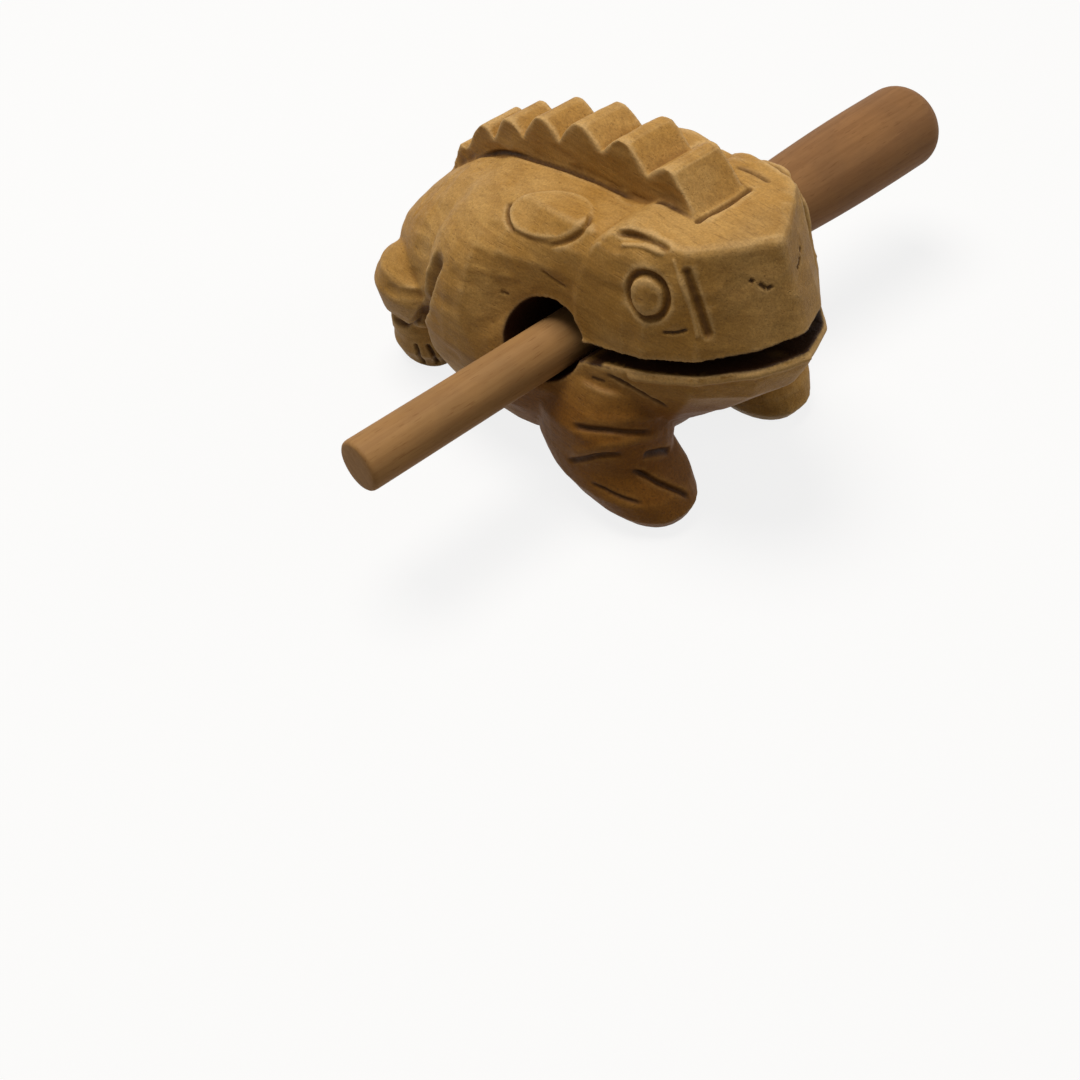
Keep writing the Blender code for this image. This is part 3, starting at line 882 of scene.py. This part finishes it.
def tool_marks_group():
    """Fine scratches and fibres left by blade and sandpaper, as a height."""
    group, given, out = shader_group(
        "Tool marks", (("Vector", "NodeSocketVector", None),),
        (("Height", "NodeSocketFloat"), ("Scuffs", "NodeSocketFloat")))
    vector = given.outputs["Vector"]
    fibres = noise_at(group, vector, 1500.0, 4.0, 0.6, stretch=(1.0, 0.06, 1.0))
    lumps = noise_at(group, vector, 260.0, 3.0, 0.55, stretch=(1.0, 0.6, 1.0))
    scuffs = noise_at(group, vector, 520.0, 5.0, 0.7, distortion=0.6)
    height = math_node(group, "ADD", share_of(group, fibres, 0.55),
                       share_of(group, lumps, 0.8))
    group.links.new(height, out.inputs["Height"])
    group.links.new(ranged(group, scuffs, 0.55, 0.75), out.inputs["Scuffs"])
    return group


def placed(tree, group, vector):
    node = tree.nodes.new("ShaderNodeGroup")
    node.node_tree = group
    tree.links.new(vector, node.inputs["Vector"])
    return node


def attribute(tree, name):
    node = tree.nodes.new("ShaderNodeAttribute")
    node.attribute_name = name
    return node.outputs["Fac"]


def new_material(name):
    """A dull material, with its tree, its shader and the object's own coordinates."""
    material = bpy.data.materials.new(name)
    material.use_nodes = True
    tree = material.node_tree
    shader = next(n for n in tree.nodes if n.type == "BSDF_PRINCIPLED")
    shader.inputs["Specular IOR Level"].default_value = 0.13
    where = tree.nodes.new("ShaderNodeTexCoord")
    return material, tree, shader, where.outputs["Object"]


def grained(tree, wood, base, dark, amounts):
    """Lays dark rings, streaks and pores over a colour, each by its own amount."""
    for part, amount in zip(("Rings", "Streaks", "Pores"), amounts):
        base = mixed(tree, share_of(tree, wood.outputs[part], amount), base, dark)
    return base


def surfaced(tree, shader, scuffs, height, roughness, strength, distance):
    """Feeds the shader its roughness, from smooth to scuffed, and its fine bumps."""
    tree.links.new(ranged(tree, scuffs, 0.0, 1.0, *roughness), shader.inputs["Roughness"])
    bump = tree.nodes.new("ShaderNodeBump")
    bump.inputs["Strength"].default_value = strength
    bump.inputs["Distance"].default_value = distance
    tree.links.new(height, bump.inputs["Height"])
    tree.links.new(bump.outputs[0], shader.inputs["Normal"])


def carved_wood(settings, grain, marks):
    """Pale carved wood: streaked along the frog, worn pale on its edges, with painted shade:
    dark in its cuts, hollows, hole and mouth, greyer on the snout, golden low on the right front.
    """
    material, tree, shader, where = new_material("carved_wood_and_painted_shade")
    wood = placed(tree, grain, where)
    wood.inputs["Ring spacing"].default_value = 210.0
    marked = placed(tree, marks, where)
    base = mixed(tree, wood.outputs["Blotches"], settings.pale, settings.warm)
    base = grained(tree, wood, base, settings.deep, (0.12, 0.24, 0.35))
    # Painted shade: the front of the snout greyer and darker.
    snout_shaded = mixed(tree, share_of(tree, attribute(tree, "snout"), SNOUT_SHADE_SHARE), base,
                 SNOUT_SHADE_TINT, "MULTIPLY")
    worn = mixed(tree, share_of(tree, attribute(tree, "edge"), WORN_SHARE), snout_shaded, WORN_TONE)
    # Painted shade: the right front leg, jaw and belly darker and more golden.
    low_shaded = mixed(tree, share_of(tree, attribute(tree, "low_shade"), LOW_SHADE_SHARE), worn,
                 LOW_SHADE_TINT, "MULTIPLY")
    speckle = ranged(tree, noise_at(tree, where, 1900.0, 3.0, 0.7), 0.35, 0.65, 0.86, 1.10)
    speck = tree.nodes.new("ShaderNodeVectorMath")
    speck.operation = "SCALE"
    tree.links.new(low_shaded, speck.inputs[0])
    tree.links.new(speckle, speck.inputs["Scale"])
    # Painted shade in hollows and creases.
    shaded = mixed(tree, share_of(tree, attribute(tree, "hollow_shade"), 0.80), speck.outputs[0],
                   settings.deep)
    # Painted shade at the bottom of each cut and in the eye rings, its edge broken by noise.
    cut_edge = noise_at(tree, where, 700.0, 3.0)
    cut = math_node(tree, "MULTIPLY", attribute(tree, "cut"),
                    ranged(tree, cut_edge, 0.2, 0.6, 0.75, 1.15), clamp=True)
    painted_shade = mixed(tree, cut, shaded, settings.painted_shade)
    # Painted shade, near black, inside the hole and the slot of the mouth.
    final = mixed(tree, share_of(tree, attribute(tree, "bore_shade"), 0.985), painted_shade, settings.painted_shade)
    tree.links.new(final, shader.inputs["Base Color"])
    height = math_node(tree, "SUBTRACT", marked.outputs["Height"],
                       share_of(tree, wood.outputs["Pores"], 0.4))
    surfaced(tree, shader, marked.outputs["Scuffs"], height, (0.56, 0.72), 0.75, 0.00022)
    return material


def turned_wood(settings, grain, marks):
    """Turned wood: the grain runs along the stick, and painted shade darkens it towards its
    handle.
    """
    material, tree, shader, where = new_material("turned_wood_and_painted_shade")
    turned = tree.nodes.new("ShaderNodeMapping")
    turned.inputs["Rotation"].default_value = (0.0, 0.0, math.radians(90.0))
    tree.links.new(where, turned.inputs["Vector"])
    along = turned.outputs[0]
    wood = placed(tree, grain, along)
    wood.inputs["Ring spacing"].default_value = 330.0
    marked = placed(tree, marks, along)
    apart = tree.nodes.new("ShaderNodeSeparateXYZ")
    tree.links.new(where, apart.inputs[0])
    # Painted shade: the stick darker towards its handle.
    handle_shade_ramp = ranged(tree, apart.outputs["X"], 0.0, 0.05)
    base = mixed(tree, handle_shade_ramp, settings.stick, settings.handle)
    darker = mixed(tree, 1.0, base, (0.62, 0.50, 0.40), "MULTIPLY")
    lighter = mixed(tree, 1.0, base, (1.22, 1.20, 1.12), "MULTIPLY")
    tone = mixed(tree, wood.outputs["Blotches"], lighter, base)
    tone = grained(tree, wood, tone, darker, (0.18, 0.28, 0.5))
    tree.links.new(tone, shader.inputs["Base Color"])
    surfaced(tree, shader, marked.outputs["Scuffs"], marked.outputs["Height"], (0.60, 0.74),
             0.4, 0.00010)
    return material


def shared_group(name, make):
    return bpy.data.node_groups.get(name) or make()


def wood_groups():
    return shared_group("Long grain", grain_group), shared_group("Tool marks", tool_marks_group)


# ---------------------------------------------------------------- stage

def white_to_camera(tree):
    """1 where the camera, a gloss or a glass looks, else 0."""
    path = tree.nodes.new("ShaderNodeLightPath")
    return math_node(tree, "MAXIMUM", path.outputs["Is Camera Ray"],
                     math_node(tree, "MAXIMUM", path.outputs["Is Glossy Ray"],
                               path.outputs["Is Transmission Ray"]))


def lay_floor(settings):
    mesh = bpy.data.meshes.new("studio_floor")
    half = settings.floor / 2
    mesh.from_pydata([(-half, -half, 0), (half, -half, 0), (half, half, 0), (-half, half, 0)],
                     [], [(0, 1, 2, 3)])
    floor = bpy.data.objects.new("studio_floor", mesh)
    bpy.context.scene.collection.objects.link(floor)
    material = bpy.data.materials.new("studio_floor")
    material.use_nodes = True
    tree = material.node_tree
    tree.nodes.clear()
    paper = tree.nodes.new("ShaderNodeBsdfDiffuse")
    path = tree.nodes.new("ShaderNodeLightPath")
    tree.links.new(mixed(tree, path.outputs["Is Camera Ray"], (0.34, 0.30, 0.24),
                         (0.80, 0.79, 0.77)), paper.inputs["Color"])
    white = tree.nodes.new("ShaderNodeEmission")
    white.inputs["Strength"].default_value = 1.0
    blend = tree.nodes.new("ShaderNodeMixShader")
    seen = white_to_camera(tree)
    tree.links.new(share_of(tree, seen, FLOOR_GLOW), blend.inputs[0])
    tree.links.new(paper.outputs[0], blend.inputs[1])
    tree.links.new(white.outputs[0], blend.inputs[2])
    out = tree.nodes.new("ShaderNodeOutputMaterial")
    tree.links.new(blend.outputs[0], out.inputs["Surface"])
    mesh.materials.append(material)


def light_world():
    world = bpy.data.worlds.new("studio_air")
    bpy.context.scene.world = world
    world.use_nodes = True
    tree = world.node_tree
    tree.nodes.clear()
    ambient = tree.nodes.new("ShaderNodeBackground")
    ambient.inputs["Color"].default_value = AMBIENT_COLOUR
    ambient.inputs["Strength"].default_value = AMBIENT_STRENGTH
    white = tree.nodes.new("ShaderNodeBackground")
    white.inputs["Color"].default_value = (1.0, 1.0, 1.0, 1.0)
    blend = tree.nodes.new("ShaderNodeMixShader")
    tree.links.new(white_to_camera(tree), blend.inputs[0])
    tree.links.new(ambient.outputs[0], blend.inputs[1])
    tree.links.new(white.outputs[0], blend.inputs[2])
    out = tree.nodes.new("ShaderNodeOutputWorld")
    tree.links.new(blend.outputs[0], out.inputs["Surface"])


def hang_lamp(name, power, size, place, tint):
    lamp = bpy.data.lights.new(name, "AREA")
    lamp.energy = power
    lamp.shape = "DISK"
    lamp.size = size
    lamp.color = tint
    obj = bpy.data.objects.new(name, lamp)
    bpy.context.scene.collection.objects.link(obj)
    way = Vector(LAMP_AIM) - Vector(place)
    obj.location = place
    obj.rotation_euler = way.to_track_quat("-Z", "Y").to_euler()


def set_camera(settings):
    """Looks down on the frog's right front from 40 degrees up."""
    around, up, roll = (math.radians(turn) for turn in CAMERA_TURN)
    away = Vector((math.sin(around) * math.cos(up), -math.cos(around) * math.cos(up),
                   math.sin(up)))
    right = Vector((math.cos(around), math.sin(around), 0.0))
    top = away.cross(right)
    right, top = (right * math.cos(roll) + top * math.sin(roll),
                  top * math.cos(roll) - right * math.sin(roll))
    place = Vector(CAMERA_AIM) + away * CAMERA_AWAY
    camera = bpy.data.cameras.new("studio_camera")
    camera.sensor_width = 36.0
    camera.lens = settings.lens * 1000.0
    camera.shift_x, camera.shift_y = CAMERA_SHIFT
    camera.clip_start, camera.clip_end = 0.01, 50.0
    obj = bpy.data.objects.new("studio_camera", camera)
    bpy.context.scene.collection.objects.link(obj)
    obj.matrix_world = Matrix(((right.x, top.x, away.x, place.x),
                               (right.y, top.y, away.y, place.y),
                               (right.z, top.z, away.z, place.z), (0, 0, 0, 1)))
    bpy.context.scene.camera = obj


# ---------------------------------------------------------------- operators

class GUIRO_OT_stage(bpy.types.Operator):
    """Lays the floor, hangs the lamps and sets the camera"""

    bl_idname = "guiro.stage"
    bl_label = "Set up studio"

    def execute(self, context):
        settings = context.scene.guiro_stage
        lay_floor(settings)
        light_world()
        hang_lamp("key_lamp", settings.key, *KEY_LAMP)
        hang_lamp("fill_lamp", settings.fill, *FILL_LAMP)
        set_camera(settings)
        context.scene.view_settings.view_transform = "Standard"
        return {"FINISHED"}


class GUIRO_OT_frog(bpy.types.Operator):
    """Carves the frog from the frame's solid"""

    bl_idname = "guiro.frog"
    bl_label = "Carve frog"

    def execute(self, context):
        frog = carve_frog(context.scene.guiro_carving)
        frog.data.materials.clear()
        frog.data.materials.append(carved_wood(context.scene.guiro_wood, *wood_groups()))
        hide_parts("frog_body")
        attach(frog, "frog")
        return {"FINISHED"}


class GUIRO_OT_stick(bpy.types.Operator):
    """Turns the stick that is rubbed over the crest"""

    bl_idname = "guiro.stick"
    bl_label = "Turn stick"

    def execute(self, context):
        material = turned_wood(context.scene.guiro_wood, *wood_groups())
        stick = turn_stick(context.scene.guiro_stick, material)
        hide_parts("rasp_stick")
        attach(stick, "stick")
        return {"FINISHED"}


class GUIRO_PT_panel(bpy.types.Panel):
    """Lists the guiro's pieces and their settings"""

    bl_idname = "GUIRO_PT_panel"
    bl_label = "Frog guiro"
    bl_space_type = "VIEW_3D"
    bl_region_type = "UI"
    bl_category = "Guiro"

    def draw(self, context):
        for label, operator in (("guiro_carving", "guiro.frog"), ("guiro_stick", "guiro.stick"),
                                ("guiro_stage", "guiro.stage"), ("guiro_wood", None)):
            settings = getattr(context.scene, label)
            box = self.layout.box()
            for name in settings.bl_rna.properties.keys():
                if name not in {"rna_type", "name"}:
                    box.prop(settings, name)
            if operator:
                box.operator(operator)


SETTINGS = {"guiro_carving": CarvingSettings, "guiro_stick": StickSettings,
            "guiro_wood": WoodSettings, "guiro_stage": StageSettings}
CLASSES = (*SETTINGS.values(), GUIRO_OT_stage, GUIRO_OT_frog, GUIRO_OT_stick, GUIRO_PT_panel)


def register():
    for cls in CLASSES:
        bpy.utils.register_class(cls)
    for name, cls in SETTINGS.items():
        setattr(bpy.types.Scene, name, PointerProperty(type=cls))


def unregister():
    for name in SETTINGS:
        delattr(bpy.types.Scene, name)
    for cls in reversed(CLASSES):
        bpy.utils.unregister_class(cls)


def main():
    register()
    bpy.ops.guiro.stage()
    bpy.ops.guiro.frog()
    bpy.ops.guiro.stick()


if __name__ == "__main__":
    main()
